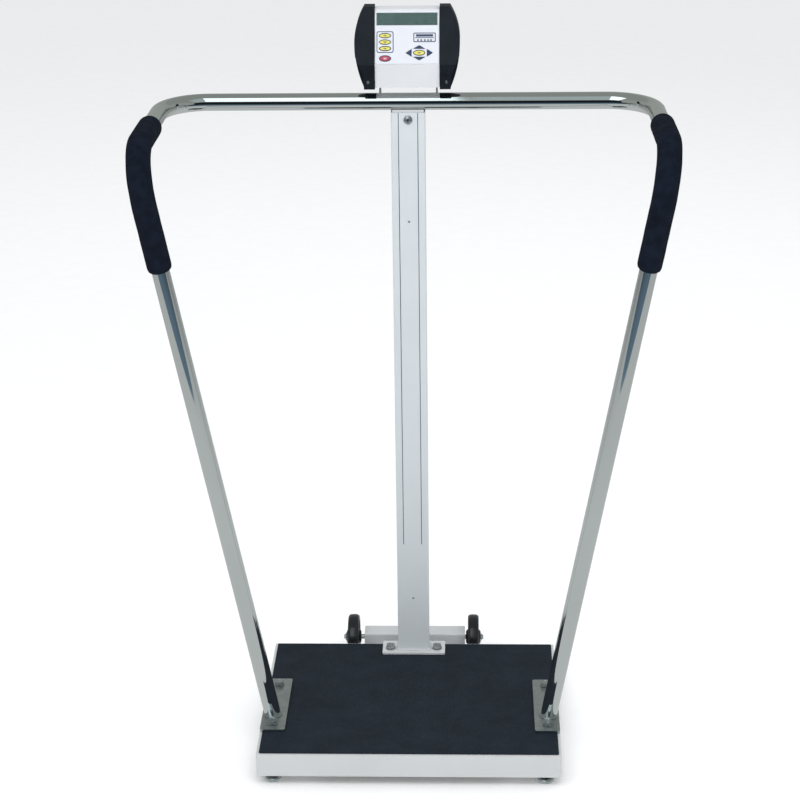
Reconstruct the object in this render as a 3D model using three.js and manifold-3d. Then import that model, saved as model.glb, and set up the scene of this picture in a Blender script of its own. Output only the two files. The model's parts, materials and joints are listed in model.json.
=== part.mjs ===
// Column scale with a standing platform, a wrap-round handrail, transport wheels and a tilting indicator.
// Millimetres. +X is the user's right when facing the column, +Y points to the rear, +Z up.
// The exported group puts the origin on the floor, under the middle of the object's bounding box.

import * as THREE from 'three';
import { mergeVertices } from 'three/addons/utils/BufferGeometryUtils.js';
import Module from 'manifold-3d';

const wasm = await Module();
wasm.setup();

// ---------------------------------------------------------------------------------------------
// Driving dimensions. Y = 0 is the rear edge of the platform and Z = 0 is the floor.

const GAP = 0.3; // between touching pieces
const INCH = 25.4;

const platform = { width: 18 * INCH, depth: 14 * INCH, top: 52, skirt: 36.2, sheet: 2.5, cornerR: 4 };
const mat = { inset: 4.2, thickness: 1.7 };
const channel = { length: 440, width: 32, wall: 3, bottom: 26, fromFront: 20, fromRear: 26 };
const cell = { length: 80, width: 22, bottom: 25.5, top: 43.5, pad: 2.4, padLength: 30 };
const foot = { x: 205, padR: 13.8, padHeight: 6.5, collarR: 8, studR: 5, studTop: 43 };
const bolt = { flats: 13, head: 5.3, washerR: 8, washer: 1.4, shankR: 4, nut: 6.5 };

const flange = { width: 4 * INCH, front: -41.5, thickness: 3.2, boltX: 38, boltY: -25.5 };
const column = { width: 2 * INCH, depth: INCH, y: -19.6, wall: 1.5, cornerR: 2.5, top: 951.5 };
const topBolt = { z: 941, headR: 6.75, headHeight: 3.6, rearEnd: 6 };
const saddle = { bottom: 905, top: 955.5 };
const grommet = { z: 885, holeR: 6, lip: 1.6 };

const tube = { r: INCH / 2, wall: 1.65, sides: 12, arcSteps: 8 };
const rail = {
  foot: new THREE.Vector3(211.9, -241, 54),
  shoulder: new THREE.Vector3(366.8, -323.4, 963),
  corner: new THREE.Vector3(361.4, column.y, 966.2),
  shoulderR: 72.8,
  cornerR: 68.8,
};
const grip = { r: 17.6, boreR: 13.5, startZ: 796, endY: -160 };
const railPlate = { width: 38.1, length: 160, thickness: 3, y: -209.5, boltX: 210, boltPitch: 122 };

const beam = { length: 166.4, depth: 1.25 * INCH, height: INCH, front: 26, top: 56, wall: 2.5 };
const arm = { x: 55, width: 26, bottom: 18, height: 19, padWidth: 46, padHeight: 29, padThickness: 3 };
const axle = { r: 4, length: 231.8, shift: -2.2 };
const wheel = { r: 37.5, tread: 18.5, hub: 24.5, x: 99.35, sides: 24 };

// The indicator is drawn from the ridge between its sloping keypad face and its upright lower front.
const faceSlope = THREE.MathUtils.degToRad(20);
const ridge = { y: -46, z: 1026.9 };
const housing = { halfWidth: 47.3, bottom: -34.5, top: 76, depth: 50, wall: 2.5, chin: 1.5, edgeR: 6 };
const backCover = { thickness: 3.7, lugInner: 30, lugOuter: 40.8, lugR: 9 };
const cap = { inner: 47.6, outer: 77.2, top: 79.8, bottom: -36.8, proud: 2, wall: 3 };
const capBow = { widestZ: 30, upperR: 94, lowerR: 168 };
const capStep = { top: 12, topX: 76.6, shoulderZ: -15, shoulderX: 65, footX: 63.6, depth: 9 };
const pivot = { y: 64.5, z: 18, screwR: 2.5 };
const overlay = { thickness: 0.6, inset: 0.8, bottom: 1, top: 78.5 };
const lens = { width: 88.8, height: 18, z: 66.3, thickness: 0.7 };
const lcd = { width: 87, height: 22, depth: 6 };
const board = { width: 84, bottom: -5, top: 54, y: 12, thickness: 1.6 };
const gland = { x: 0, z: -20, r: 6, length: 9 };
const key = { front: -1.3, back: 3.2, ovalW: 17.6, ovalH: 7.4, redH: 9.2, redZ: 8.9 };
const keyColumn = { x: -32.1, topZ: 42.2, pitch: 9.4 };
const nav = { x: 17.8, z: 17, ovalH: 8.2 };
const arrow = { tipX: 19.6, baseX: 11.3, halfH: 5.4, tipZ: 10.8, baseZ: 5.9, halfW: 8.6 };

const bracket = { legX: 42.4, sheet: 2.5, top: 972, bottom: 952, headR: 9 };
const tongue = { halfWidth: 18, bottom: 915 };

// ---------------------------------------------------------------------------------------------
// Materials

function paint(color, roughness, metalness = 0) {
  return new THREE.MeshStandardMaterial({ color, roughness, metalness });
}

const whitePaint = paint(0xd9dcdc, 0.45);
const columnPaint = paint(0xb9c0c3, 0.4);
const rubberMat = paint(0x2b323c, 0.85);
const bareSteel = paint(0x9a9c9b, 0.4, 0.9);
const zinc = paint(0xb9bab4, 0.35, 0.95);
const chrome = paint(0xc9cbc6, 0.12, 1);
const foam = paint(0x14171f, 0.95);
const blackPlastic = paint(0x15181b, 0.3);
const capPlastic = paint(0x1b2127, 0.5);
const casePlastic = paint(0xe2e4e5, 0.4);
const overlayFilm = paint(0xdfe2e6, 0.35);
const displayTint = paint(0x5f7f73, 0.15);
const aluminium = paint(0xb4b6b8, 0.4, 0.9);
const boardGreen = paint(0x1f5a34, 0.5);
const yellowKey = paint(0xd8cf4a, 0.45);
const redKey = paint(0xa8283a, 0.45);
const blueKey = paint(0x22304f, 0.45);

// ---------------------------------------------------------------------------------------------
// Shape helpers

const ALONG_X = new THREE.Matrix4().makeBasis(
  new THREE.Vector3(0, 1, 0), new THREE.Vector3(0, 0, 1), new THREE.Vector3(1, 0, 0));
const ALONG_Y = new THREE.Matrix4().makeBasis(
  new THREE.Vector3(1, 0, 0), new THREE.Vector3(0, 0, 1), new THREE.Vector3(0, -1, 0));

function block([x0, x1], [y0, y1], [z0, z1]) {
  const box = new THREE.BoxGeometry(x1 - x0, y1 - y0, z1 - z0);
  return box.translate((x0 + x1) / 2, (y0 + y1) / 2, (z0 + z1) / 2);
}

function extrude(shape, depth, curveSegments = 8) {
  return new THREE.ExtrudeGeometry(shape, { depth, bevelEnabled: false, curveSegments });
}

// A shape drawn in X and Y, filling z0 to z1.
function extrudeZ(shape, [z0, z1], segments) {
  return extrude(shape, z1 - z0, segments).translate(0, 0, z0);
}

// A shape drawn in Y and Z, filling x0 to x1.
function extrudeX(shape, [x0, x1], segments) {
  return extrude(shape, x1 - x0, segments).applyMatrix4(ALONG_X).translate(x0, 0, 0);
}

// A shape drawn in X and Z, filling y0 to y1.
function extrudeY(shape, [y0, y1], segments) {
  return extrude(shape, y1 - y0, segments).applyMatrix4(ALONG_Y).translate(0, y1, 0);
}

function roundedRect([x0, x1], [y0, y1], r) {
  const shape = new THREE.Shape();
  shape.moveTo(x0 + r, y0);
  shape.lineTo(x1 - r, y0);
  shape.absarc(x1 - r, y0 + r, r, -Math.PI / 2, 0);
  shape.absarc(x1 - r, y1 - r, r, 0, Math.PI / 2);
  shape.absarc(x0 + r, y1 - r, r, Math.PI / 2, Math.PI);
  shape.absarc(x0 + r, y0 + r, r, Math.PI, 1.5 * Math.PI);
  return shape;
}

function polygon(points) {
  return new THREE.Shape(points.map(([x, y]) => new THREE.Vector2(x, y)));
}

function oval(x, y, width, height) {
  return new THREE.Shape().absellipse(x, y, width / 2, height / 2, 0, 2 * Math.PI);
}

function rodZ(r, [z0, z1], x, y, sides = 12) {
  const rod = new THREE.CylinderGeometry(r, r, z1 - z0, sides).rotateX(Math.PI / 2);
  return rod.translate(x, y, (z0 + z1) / 2);
}

function rodY(r, [y0, y1], x, z, sides = 12) {
  return new THREE.CylinderGeometry(r, r, y1 - y0, sides).translate(x, (y0 + y1) / 2, z);
}

function rodX(r, [x0, x1], y, z, sides = 12) {
  const rod = new THREE.CylinderGeometry(r, r, x1 - x0, sides).rotateZ(-Math.PI / 2);
  return rod.translate((x0 + x1) / 2, y, z);
}

// A profile of [radius, height] points turned about the vertical axis.
function turned(profile, sides = 18) {
  const points = profile.map(([r, h]) => new THREE.Vector2(r, h));
  return new THREE.LatheGeometry(points, sides).rotateX(Math.PI / 2);
}

function toSolid(geometry) {
  const bare = geometry.clone();
  bare.deleteAttribute('normal');
  bare.deleteAttribute('uv');
  const merged = mergeVertices(bare, 1e-4);
  const vertProperties = new Float32Array(merged.attributes.position.array);
  const triVerts = new Uint32Array(merged.index.array);
  return new wasm.Manifold(new wasm.Mesh({ numProp: 3, vertProperties, triVerts }));
}

function toGeometry(solid) {
  const mesh = solid.getMesh();
  const geometry = new THREE.BufferGeometry();
  geometry.setAttribute('position', new THREE.BufferAttribute(new Float32Array(mesh.vertProperties), 3));
  geometry.setIndex(new THREE.BufferAttribute(new Uint32Array(mesh.triVerts), 1));
  geometry.computeVertexNormals();
  return geometry;
}

function cut(geometry, ...tools) {
  return toGeometry(tools.reduce((solid, tool) => solid.subtract(toSolid(tool)), toSolid(geometry)));
}

function join(geometry, ...others) {
  return toGeometry(others.reduce((solid, other) => solid.add(toSolid(other)), toSolid(geometry)));
}

function meet(geometry, other) {
  return toGeometry(toSolid(geometry).intersect(toSolid(other)));
}

// The same piece on the other side, with its triangles turned so that they still face outwards.
function mirrorX(geometry) {
  const mirroredCopy = geometry.clone().scale(-1, 1, 1);
  const corners = mirroredCopy.index.array;
  for (let i = 0; i < corners.length; i += 3) {
    [corners[i], corners[i + 1]] = [corners[i + 1], corners[i]];
  }
  mirroredCopy.computeVertexNormals();
  return mirroredCopy;
}

const model = new THREE.Group();

function add(name, geometry, material, parent = model) {
  const mesh = new THREE.Mesh(geometry, material);
  mesh.name = name;
  parent.add(mesh);
}

// Sides and ends of the object, with the names and signs that repeated pieces use.
const SIDES = [['left', -1], ['right', 1]];
const deckUnder = platform.top - platform.sheet;
const matTop = platform.top + GAP + mat.thickness;
const ENDS = [
  ['front', channel.fromFront - platform.depth],
  ['rear', -channel.fromRear],
];

// ---------------------------------------------------------------------------------------------
// Fasteners

// Hexagon bolt with a washer under its head and a nut on its end.
function boltWithNut(x, y, seat, nutTop) {
  const hexR = bolt.flats / Math.sqrt(3);
  const headBase = seat + bolt.washer;
  const shankEnd = nutTop - bolt.nut - 2;
  return join(
    rodZ(bolt.shankR, [shankEnd, headBase + 1], x, y),
    rodZ(bolt.washerR, [seat + GAP, headBase], x, y, 16),
    rodZ(hexR, [headBase - 0.1, headBase + bolt.head], x, y, 6),
    rodZ(hexR, [nutTop - bolt.nut, nutTop - GAP], x, y, 6),
  );
}

function boltHole(x, y, [z0, z1]) {
  return rodZ(bolt.shankR + GAP, [z0, z1], x, y);
}

const railBolts = SIDES.flatMap(([side, sx]) => [['front', -1], ['rear', 1]].map(([end, sy]) => ({
  name: `handrail_bolt_${side}_${end}`,
  x: sx * railPlate.boltX,
  y: railPlate.y + sy * railPlate.boltPitch / 2,
})));
const flangeBolts = SIDES.map(([side, sx]) => ({
  name: `column_flange_bolt_${side}`,
  x: sx * flange.boltX,
  y: flange.boltY,
}));
const deckHoles = [...railBolts, ...flangeBolts];

// ---------------------------------------------------------------------------------------------
// Platform

function platformCover() {
  const halfW = platform.width / 2;
  const { depth, sheet, top, skirt } = platform;
  const outer = roundedRect([-halfW, halfW], [-depth, 0], platform.cornerR);
  const innerR = platform.cornerR - sheet;
  const inner = roundedRect([sheet - halfW, halfW - sheet], [sheet - depth, -sheet], innerR);
  const hollow = extrudeZ(inner, [top - skirt - 1, deckUnder], 3);
  const holes = deckHoles.map(({ x, y }) => boltHole(x, y, [deckUnder - 1, top + 1]));
  return cut(extrudeZ(outer, [top - skirt, top], 3), hollow, ...holes);
}

function platformMat() {
  const x = platform.width / 2 - mat.inset;
  const outline = roundedRect([-x, x], [mat.inset - platform.depth, -mat.inset], 2);
  const bottom = platform.top + GAP;
  const holes = deckHoles.map(({ x: hx, y }) => boltHole(hx, y, [bottom - 1, matTop + 1]));
  return cut(extrudeZ(outline, [bottom, matTop], 2), ...holes);
}

// Inverted channel under the deck, holding a load cell at each end.
function deckChannel(y, bolts) {
  const x = channel.length / 2;
  const halfW = channel.width / 2;
  const top = deckUnder - GAP;
  const body = block([-x, x], [y - halfW, y + halfW], [channel.bottom, top]);
  const inside = [y - halfW + channel.wall, y + halfW - channel.wall];
  const hollow = block([-x - 1, x + 1], inside, [channel.bottom - 1, top - channel.wall]);
  const holes = bolts.map((b) => boltHole(b.x, b.y, [top - channel.wall - 1, top + 1]));
  return cut(body, hollow, ...holes);
}

// Bending-beam load cell with a twin-bore flexure and a raised pad at its fixed end.
function loadCell(side, y) {
  const outer = foot.x + 12.5;
  const inner = outer - cell.length;
  const midZ = (cell.bottom + cell.top) / 2;
  const step = inner + cell.padLength;
  const outline = polygon([
    [inner, cell.bottom], [outer, cell.bottom], [outer, cell.top],
    [step, cell.top], [step, cell.top + cell.pad], [inner, cell.top + cell.pad],
  ]);
  const flexureX = (step + foot.x - 8) / 2;
  const boreR = 6;
  const spread = 9;
  const length = [y - cell.width / 2, y + cell.width / 2];
  const past = [length[0] - 1, length[1] + 1];
  const body = cut(
    extrudeY(outline, length),
    rodY(boreR, past, flexureX - spread, midZ),
    rodY(boreR, past, flexureX + spread, midZ),
    block([flexureX - spread, flexureX + spread], past, [midZ - 1.5, midZ + 1.5]),
    rodZ(foot.studR + GAP, [cell.bottom - 1, cell.top + 1], foot.x, y),
  );
  return side > 0 ? body : body.rotateZ(Math.PI).translate(0, 2 * y, 0);
}

function footStud(x, y) {
  const base = foot.padHeight + GAP;
  const profile = [
    [0, base], [foot.collarR, base], [foot.collarR, base + 3],
    [foot.studR, base + 3.6], [foot.studR, foot.studTop], [0, foot.studTop],
  ];
  return turned(profile, 12).translate(x, y, 0);
}

function footPad(x, y) {
  const { padR, padHeight } = foot;
  const profile = [
    [0, 0], [padR - 1, 0], [padR, 1], [padR - 0.4, padHeight - 2],
    [padR - 2, padHeight], [0, padHeight],
  ];
  return turned(profile).translate(x, y, 0);
}

function junctionBox() {
  const [x, y, z] = [[-45, 45], [-205, -145], [27, deckUnder - GAP]];
  const wall = 2;
  const inside = [x, y].map(([low, high]) => [low + wall, high - wall]);
  return cut(block(x, y, z), block(...inside, [z[0] + wall, z[1] + 1]));
}

add('platform_cover', platformCover(), whitePaint);
add('platform_mat', platformMat(), rubberMat);
for (const [end, y] of ENDS) {
  add(`deck_channel_${end}`, deckChannel(y, end === 'rear' ? flangeBolts : []), bareSteel);
  for (const [side, sx] of SIDES) {
    add(`load_cell_${end}_${side}`, loadCell(sx, y), aluminium);
    add(`foot_stud_${end}_${side}`, footStud(sx * foot.x, y), zinc);
    add(`foot_pad_${end}_${side}`, footPad(sx * foot.x, y), zinc);
  }
}
add('junction_box', junctionBox(), blackPlastic);

// ---------------------------------------------------------------------------------------------
// Column

const flangeTop = matTop + GAP + flange.thickness;

function columnFlange() {
  const halfW = flange.width / 2;
  const plate = roundedRect([-halfW, halfW], [flange.front, 0], 2);
  const z = [matTop + GAP, flangeTop];
  const past = [z[0] - 1, z[1] + 1];
  const holes = flangeBolts.map((b) => boltHole(b.x, b.y, past));
  return cut(extrudeZ(plate, z, 3), rodZ(9, past, 0, column.y), ...holes);
}

function columnTube() {
  const halfW = column.width / 2;
  const halfD = column.depth / 2;
  const { y, wall, cornerR, top } = column;
  const outline = roundedRect([-halfW, halfW], [y - halfD, y + halfD], cornerR);
  outline.holes.push(roundedRect(
    [wall - halfW, halfW - wall], [y - halfD + wall, y + halfD - wall], cornerR - wall));
  const front = [y - halfD - 1, y - 1];
  const back = [y + 1, y + halfD + 1];
  return cut(
    extrudeZ(outline, [flangeTop + GAP, top], 3),
    rodY(bolt.shankR + GAP, [front[0], back[1]], 0, topBolt.z),
    rodY(1.5, front, 0, 784, 10),
    rodY(1.5, front, 0, 152, 10),
    rodY(grommet.holeR, back, 0, grommet.z),
  );
}

// Steel plug in the top of the column, with a cradle that carries the cross bar.
function columnSaddle() {
  const play = 0.4;
  const halfW = column.width / 2 - column.wall - play;
  const halfD = column.depth / 2 - column.wall - play;
  const plug = roundedRect([-halfW, halfW], [column.y - halfD, column.y + halfD], 1);
  const through = [column.y - column.depth, column.y + column.depth];
  return cut(
    extrudeZ(plug, [saddle.bottom, saddle.top], 2),
    rodX(tube.r + GAP, [-halfW - 1, halfW + 1], column.y, rail.corner.z, 24),
    rodY(bolt.shankR + GAP, through, 0, topBolt.z),
  );
}

const columnBack = column.y + column.depth / 2;
const bracketBack = columnBack + 0.5 + bracket.sheet;

// Button-headed bolt through the column, the saddle and the indicator bracket, with its nut behind.
function columnTopBolt() {
  const frontFace = column.y - column.depth / 2;
  const { headR, headHeight, z } = topBolt;
  const head = [
    [0, 0], [headR, 0], [headR, 0.8], [headR * 0.86, headHeight * 0.62],
    [headR * 0.55, headHeight], [0, headHeight],
  ];
  const headSolid = turned(head).rotateX(Math.PI / 2).translate(0, frontFace - GAP, z);
  const socket = rodY(2.6, [frontFace - 9, frontFace - 2.2], 0, z, 6);
  const nut = rodY(bolt.flats / Math.sqrt(3), [bracketBack + GAP, bracketBack + 5], 0, z, 6);
  const shank = rodY(bolt.shankR, [frontFace - 1, bracketBack + topBolt.rearEnd], 0, z);
  return cut(join(shank, headSolid, nut), socket);
}

function columnGrommet() {
  const { holeR, lip, z } = grommet;
  const wallIn = column.wall + 2 * GAP;
  const profile = [
    [holeR - 2, 0], [holeR + 1.8, 0], [holeR + 1.8, lip], [holeR - GAP, lip],
    [holeR - GAP, lip + wallIn], [holeR - 2, lip + wallIn], [holeR - 2, 0],
  ];
  return turned(profile, 12).rotateX(Math.PI / 2).translate(0, columnBack + GAP + lip, z);
}

add('column_flange', columnFlange(), whitePaint);
add('column', columnTube(), columnPaint);
add('column_saddle', columnSaddle(), whitePaint);
add('column_top_bolt', columnTopBolt(), zinc);
add('column_grommet', columnGrommet(), blackPlastic);
for (const { name, x, y } of flangeBolts) {
  add(name, boltWithNut(x, y, flangeTop, deckUnder - GAP - channel.wall), zinc);
}

// ---------------------------------------------------------------------------------------------
// Handrail

// A path given station by station, so that its straights take no needless sections.
class StationCurve extends THREE.Curve {
  constructor(stations) {
    super();
    this.stations = stations;
  }

  station(u) {
    return this.stations[Math.round(u * (this.stations.length - 1))];
  }

  getPointAt(u) {
    return this.station(u).point.clone();
  }

  getTangentAt(u) {
    return this.station(u).tangent.clone();
  }
}

// Straights through the corner points, with an arc of the given radius at each inner corner.
function filletedPath(corners, radii) {
  const direction = (i) => corners[i + 1].clone().sub(corners[i]).normalize();
  const stations = [{ point: corners[0], tangent: direction(0) }];
  radii.forEach((r, i) => {
    const corner = corners[i + 1];
    const before = direction(i);
    const after = direction(i + 1);
    const turn = before.angleTo(after);
    const inward = after.clone().addScaledVector(before, -after.dot(before)).normalize();
    const start = corner.clone().addScaledVector(before, -r * Math.tan(turn / 2));
    for (let step = 0; step <= tube.arcSteps; step += 1) {
      const a = (turn * step) / tube.arcSteps;
      const point = start.clone()
        .addScaledVector(before, r * Math.sin(a))
        .addScaledVector(inward, r * (1 - Math.cos(a)));
      const tangent = before.clone().multiplyScalar(Math.cos(a)).addScaledVector(inward, Math.sin(a));
      stations.push({ point, tangent });
    }
  });
  stations.push({ point: corners.at(-1), tangent: direction(corners.length - 2) });
  return new StationCurve(stations);
}

function sweptRing(outerR, innerR, path) {
  const ring = new THREE.Shape().absarc(0, 0, outerR, 0, 2 * Math.PI);
  ring.holes.push(new THREE.Path().absarc(0, 0, innerR, 0, 2 * Math.PI));
  const options = { steps: path.stations.length - 1, curveSegments: tube.sides / 2, extrudePath: path };
  return new THREE.ExtrudeGeometry(ring, options);
}

const mirrored = (v) => new THREE.Vector3(-v.x, v.y, v.z);
const pointOn = (a, b, t) => a.clone().lerp(b, t);
const plateTop = matTop + GAP + railPlate.thickness;

function handrailTube() {
  const below = -0.012; // starts under the plate, then is trimmed flat to stand on it
  const start = pointOn(rail.foot, rail.shoulder, below);
  const right = [start, rail.shoulder, rail.corner];
  const corners = [...right, ...right.map(mirrored).reverse()];
  const { shoulderR, cornerR } = rail;
  const path = filletedPath(corners, [shoulderR, cornerR, cornerR, shoulderR]);
  const swept = sweptRing(tube.r, tube.r - tube.wall, path);
  const underPlate = block([-300, 300], [-300, -180], [0, plateTop + GAP]);
  return cut(swept, underPlate);
}

function foamGrip(sx) {
  const { foot: base, shoulder, corner } = rail;
  const start = pointOn(base, shoulder, (grip.startZ - base.z) / (shoulder.z - base.z));
  const end = pointOn(shoulder, corner, (grip.endY - shoulder.y) / (corner.y - shoulder.y));
  const corners = [start, shoulder, end];
  const path = filletedPath(sx > 0 ? corners : corners.map(mirrored), [rail.shoulderR]);
  return sweptRing(grip.r, grip.boreR, path);
}

function handrailPlate(sx) {
  const outer = platform.width / 2;
  const x = sx > 0 ? [outer - railPlate.width, outer] : [-outer, railPlate.width - outer];
  const y = [railPlate.y - railPlate.length / 2, railPlate.y + railPlate.length / 2];
  const z = [matTop + GAP, plateTop];
  const bolts = railBolts.filter((b) => b.x * sx > 0);
  const holes = bolts.map((b) => boltHole(b.x, b.y, [z[0] - 1, z[1] + 1]));
  return cut(extrudeZ(roundedRect(x, y, 3), z, 3), ...holes);
}

add('handrail_tube', handrailTube(), chrome);
for (const [side, sx] of SIDES) {
  add(`foam_grip_${side}`, foamGrip(sx), foam);
  add(`handrail_plate_${side}`, handrailPlate(sx), zinc);
}
for (const { name, x, y } of railBolts) {
  add(name, boltWithNut(x, y, plateTop, deckUnder), zinc);
}

// ---------------------------------------------------------------------------------------------
// Transport wheels

const axleY = beam.front + beam.depth / 2;
const axleZ = beam.top - beam.height / 2;

function armTube(x) {
  const halfW = arm.width / 2;
  const reach = [GAP, beam.front + 1];
  const outline = roundedRect([x - halfW, x + halfW], [arm.bottom, arm.bottom + arm.height], 2);
  const { wall } = beam;
  outline.holes.push(roundedRect(
    [x - halfW + wall, x + halfW - wall], [arm.bottom + wall, arm.bottom + arm.height - wall], 1));
  return extrudeY(outline, reach, 1);
}

function armPad(x) {
  const halfW = arm.padWidth / 2;
  const low = arm.bottom - 2;
  const outline = roundedRect([x - halfW, x + halfW], [low, low + arm.padHeight], 3);
  outline.holes.push(roundedRect([x - 9, x + 9], [arm.bottom + 4, arm.bottom + arm.height - 4], 1));
  return extrudeY(outline, [GAP, GAP + arm.padThickness], 1);
}

// Closed box beam carried on two short arms that are welded to the platform's rear skirt.
function wheelBeam() {
  const half = beam.length / 2;
  const { wall, front, depth, top, height } = beam;
  const outer = extrudeX(roundedRect([front, front + depth], [top - height, top], 2), [-half, half], 2);
  const hollow = block([wall - half, half - wall], [front + wall, front + depth - wall],
    [top - height + wall, top - wall]);
  const bore = rodX(axle.r + GAP, [-half - 1, half + 1], axleY, axleZ);
  const arms = [-arm.x, arm.x].flatMap((x) => [armTube(x), armPad(x)]);
  return cut(join(outer, ...arms), hollow, bore);
}

function wheelShape() {
  const tread = wheel.tread / 2;
  const hub = wheel.hub / 2;
  const bore = axle.r + GAP / 2;
  const side = [[bore, hub], [10, hub], [15, tread - 4.2], [28, tread - 4.2], [31, tread], [34.5, tread],
    [wheel.r, tread - 4]];
  const lower = side.map(([r, h]) => [r, -h]);
  const profile = [...lower, ...side.reverse(), lower[0]];
  return turned(profile, wheel.sides).rotateY(Math.PI / 2);
}

function pushNut(x) {
  const profile = [
    [axle.r + GAP, -0.8], [7, -0.8], [7, 0], [5.6, 0.8], [axle.r + GAP, 0.8], [axle.r + GAP, -0.8],
  ];
  return turned(profile, 12).rotateY(Math.sign(x) * Math.PI / 2).translate(x, axleY, axleZ);
}

add('wheel_beam', wheelBeam(), whitePaint);
const axleEnds = [axle.shift - axle.length / 2, axle.shift + axle.length / 2];
add('wheel_axle', rodX(axle.r, axleEnds, axleY, axleZ), zinc);
for (const [side, sx] of SIDES) {
  const x = sx * wheel.x + axle.shift;
  add(`wheel_${side}`, wheelShape().translate(x, axleY, axleZ), blackPlastic);
  add(`push_nut_${side}`, pushNut(x + sx * (wheel.hub / 2 + 0.8 + GAP)), zinc);
}

// ---------------------------------------------------------------------------------------------
// Indicator. Its pieces are drawn with Y = 0 and Z = 0 on the ridge across the front, and those on the
// keypad face are drawn upright too, in a group that leans them back.

const indicator = new THREE.Group();
indicator.position.set(0, ridge.y, ridge.z);
model.add(indicator);
const face = new THREE.Group();
face.rotation.x = -faceSlope;
indicator.add(face);

const leanBack = (geometry) => geometry.rotateX(-faceSlope);

// An arrow key's outline, or with grow the slightly larger hole that it moves in.
function arrowOutline(dx, dz, grow) {
  const base = dx ? arrow.baseX : arrow.baseZ;
  const tip = dx ? arrow.tipX : arrow.tipZ;
  const half = dx ? arrow.halfH : arrow.halfW;
  const at = (along, across) => new THREE.Vector2(
    nav.x + dx * along + dz * across, nav.z + dz * along + dx * across);
  const corners = [at(base, half), at(tip, 0), at(base, -half)];
  const centre = at((2 * base + tip) / 3, 0);
  const inradius = ((tip - base) * half) / (half + Math.hypot(tip - base, half));
  const scale = 1 + grow / inradius;
  return new THREE.Shape(corners.map((p) => p.sub(centre).multiplyScalar(scale).add(centre)));
}

function rowZ(row) {
  return keyColumn.topZ - row * keyColumn.pitch;
}

const arrows = [['up', 0, 1], ['down', 0, -1], ['left', -1, 0], ['right', 1, 0]];
const keys = [
  ...[0, 1, 2].map((row) => ({
    name: `key_yellow_${row + 1}`,
    material: yellowKey,
    shape: (grow) => oval(keyColumn.x, rowZ(row), key.ovalW + grow, key.ovalH + grow),
  })),
  {
    name: 'key_red',
    material: redKey,
    shape: (grow) => oval(keyColumn.x, key.redZ, key.ovalW + grow, key.redH + grow),
  },
  {
    name: 'key_enter',
    material: yellowKey,
    shape: (grow) => oval(nav.x, nav.z, key.ovalW + grow, nav.ovalH + grow),
  },
  ...arrows.map(([way, dx, dz]) => ({
    name: `key_arrow_${way}`,
    material: blueKey,
    shape: (grow) => arrowOutline(dx, dz, grow / 2),
  })),
];

const keyHoles = (y) => keys.map(({ shape }) => extrudeY(shape(2 * GAP), y, 8));

// Where the keypad face, moved inwards by a distance, crosses a height.
function faceDepth(z, inwards) {
  return inwards / Math.cos(faceSlope) + z * Math.tan(faceSlope);
}

function housingShell() {
  const { halfWidth, bottom, top, depth, wall, chin, edgeR } = housing;
  const edge = edgeR * Math.tan((Math.PI / 2 - faceSlope) / 2);
  const topY = faceDepth(top, 0);
  const side = new THREE.Shape();
  side.moveTo(0, 0);
  side.lineTo(chin, bottom);
  side.lineTo(depth, bottom);
  side.lineTo(depth, top);
  side.lineTo(topY + edge, top);
  side.absarc(topY + edge, top - edgeR, edgeR, Math.PI / 2, Math.PI - faceSlope);
  const inner = polygon([
    [faceDepth(0, wall), 0], [chin + wall, bottom + wall], [depth + 1, bottom + wall],
    [depth + 1, top - wall], [faceDepth(top - wall, wall), top - wall],
  ]);
  const hollow = extrudeX(inner, [wall - halfWidth, halfWidth - wall]);
  const window = block([1.5 - lens.width / 2, lens.width / 2 - 1.5], [-1, wall + 1],
    [lens.z - lens.height / 2 + 1, lens.z + lens.height / 2 - 1]);
  const openings = [window, ...keyHoles([-1, wall + 1])].map(leanBack);
  const shell = cut(extrudeX(side, [-halfWidth, halfWidth], 5), hollow, ...openings);
  const posts = [-1, 1].flatMap((sx) => [board.bottom + 3, board.top - 4].map(
    (z) => leanBack(rodY(3, [wall - 0.1, board.y - GAP], sx * (board.width / 2 - 3.5), z))));
  return join(shell, ...posts);
}

function housingBack() {
  const { halfWidth, bottom, top, depth } = housing;
  const y = [depth + GAP, depth + GAP + backCover.thickness];
  const plate = extrudeY(roundedRect([-halfWidth, halfWidth], [bottom, top], 2), y, 2);
  const { lugR, lugInner, lugOuter } = backCover;
  const ear = new THREE.Shape();
  ear.moveTo(y[1] - 1, pivot.z - lugR);
  ear.lineTo(pivot.y, pivot.z - lugR);
  ear.absarc(pivot.y, pivot.z, lugR, -Math.PI / 2, Math.PI / 2);
  ear.lineTo(y[1] - 1, pivot.z + lugR);
  const lugs = [[lugInner, lugOuter], [-lugOuter, -lugInner]].map((x) => extrudeX(ear, x, 6));
  const screwHole = rodX(pivot.screwR + GAP, [-halfWidth, halfWidth], pivot.y, pivot.z);
  const glandHole = rodY(gland.r + GAP, [y[0] - 1, y[1] + 1], gland.x, gland.z);
  return cut(join(plate, ...lugs), screwHole, glandHole);
}

// Front outline of a side cap: straight against the case and bowed outwards.
function capOutline(inset) {
  const { widestZ, upperR, lowerR } = capBow;
  const [low, high] = [cap.bottom + inset, cap.top - inset];
  const [lower, upper] = [lowerR - inset, upperR - inset];
  const from = Math.asin((low - widestZ) / lower);
  const to = Math.asin((high - widestZ) / upper);
  const inner = inset ? cap.inner - 1 : cap.inner;
  const outline = new THREE.Shape();
  outline.moveTo(inner, low);
  outline.lineTo(cap.outer - lowerR + lower * Math.cos(from), low);
  outline.absarc(cap.outer - lowerR, widestZ, lower, from, 0);
  outline.absarc(cap.outer - upperR, widestZ, upper, 0, to);
  outline.lineTo(inner, high);
  return outline;
}

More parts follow.
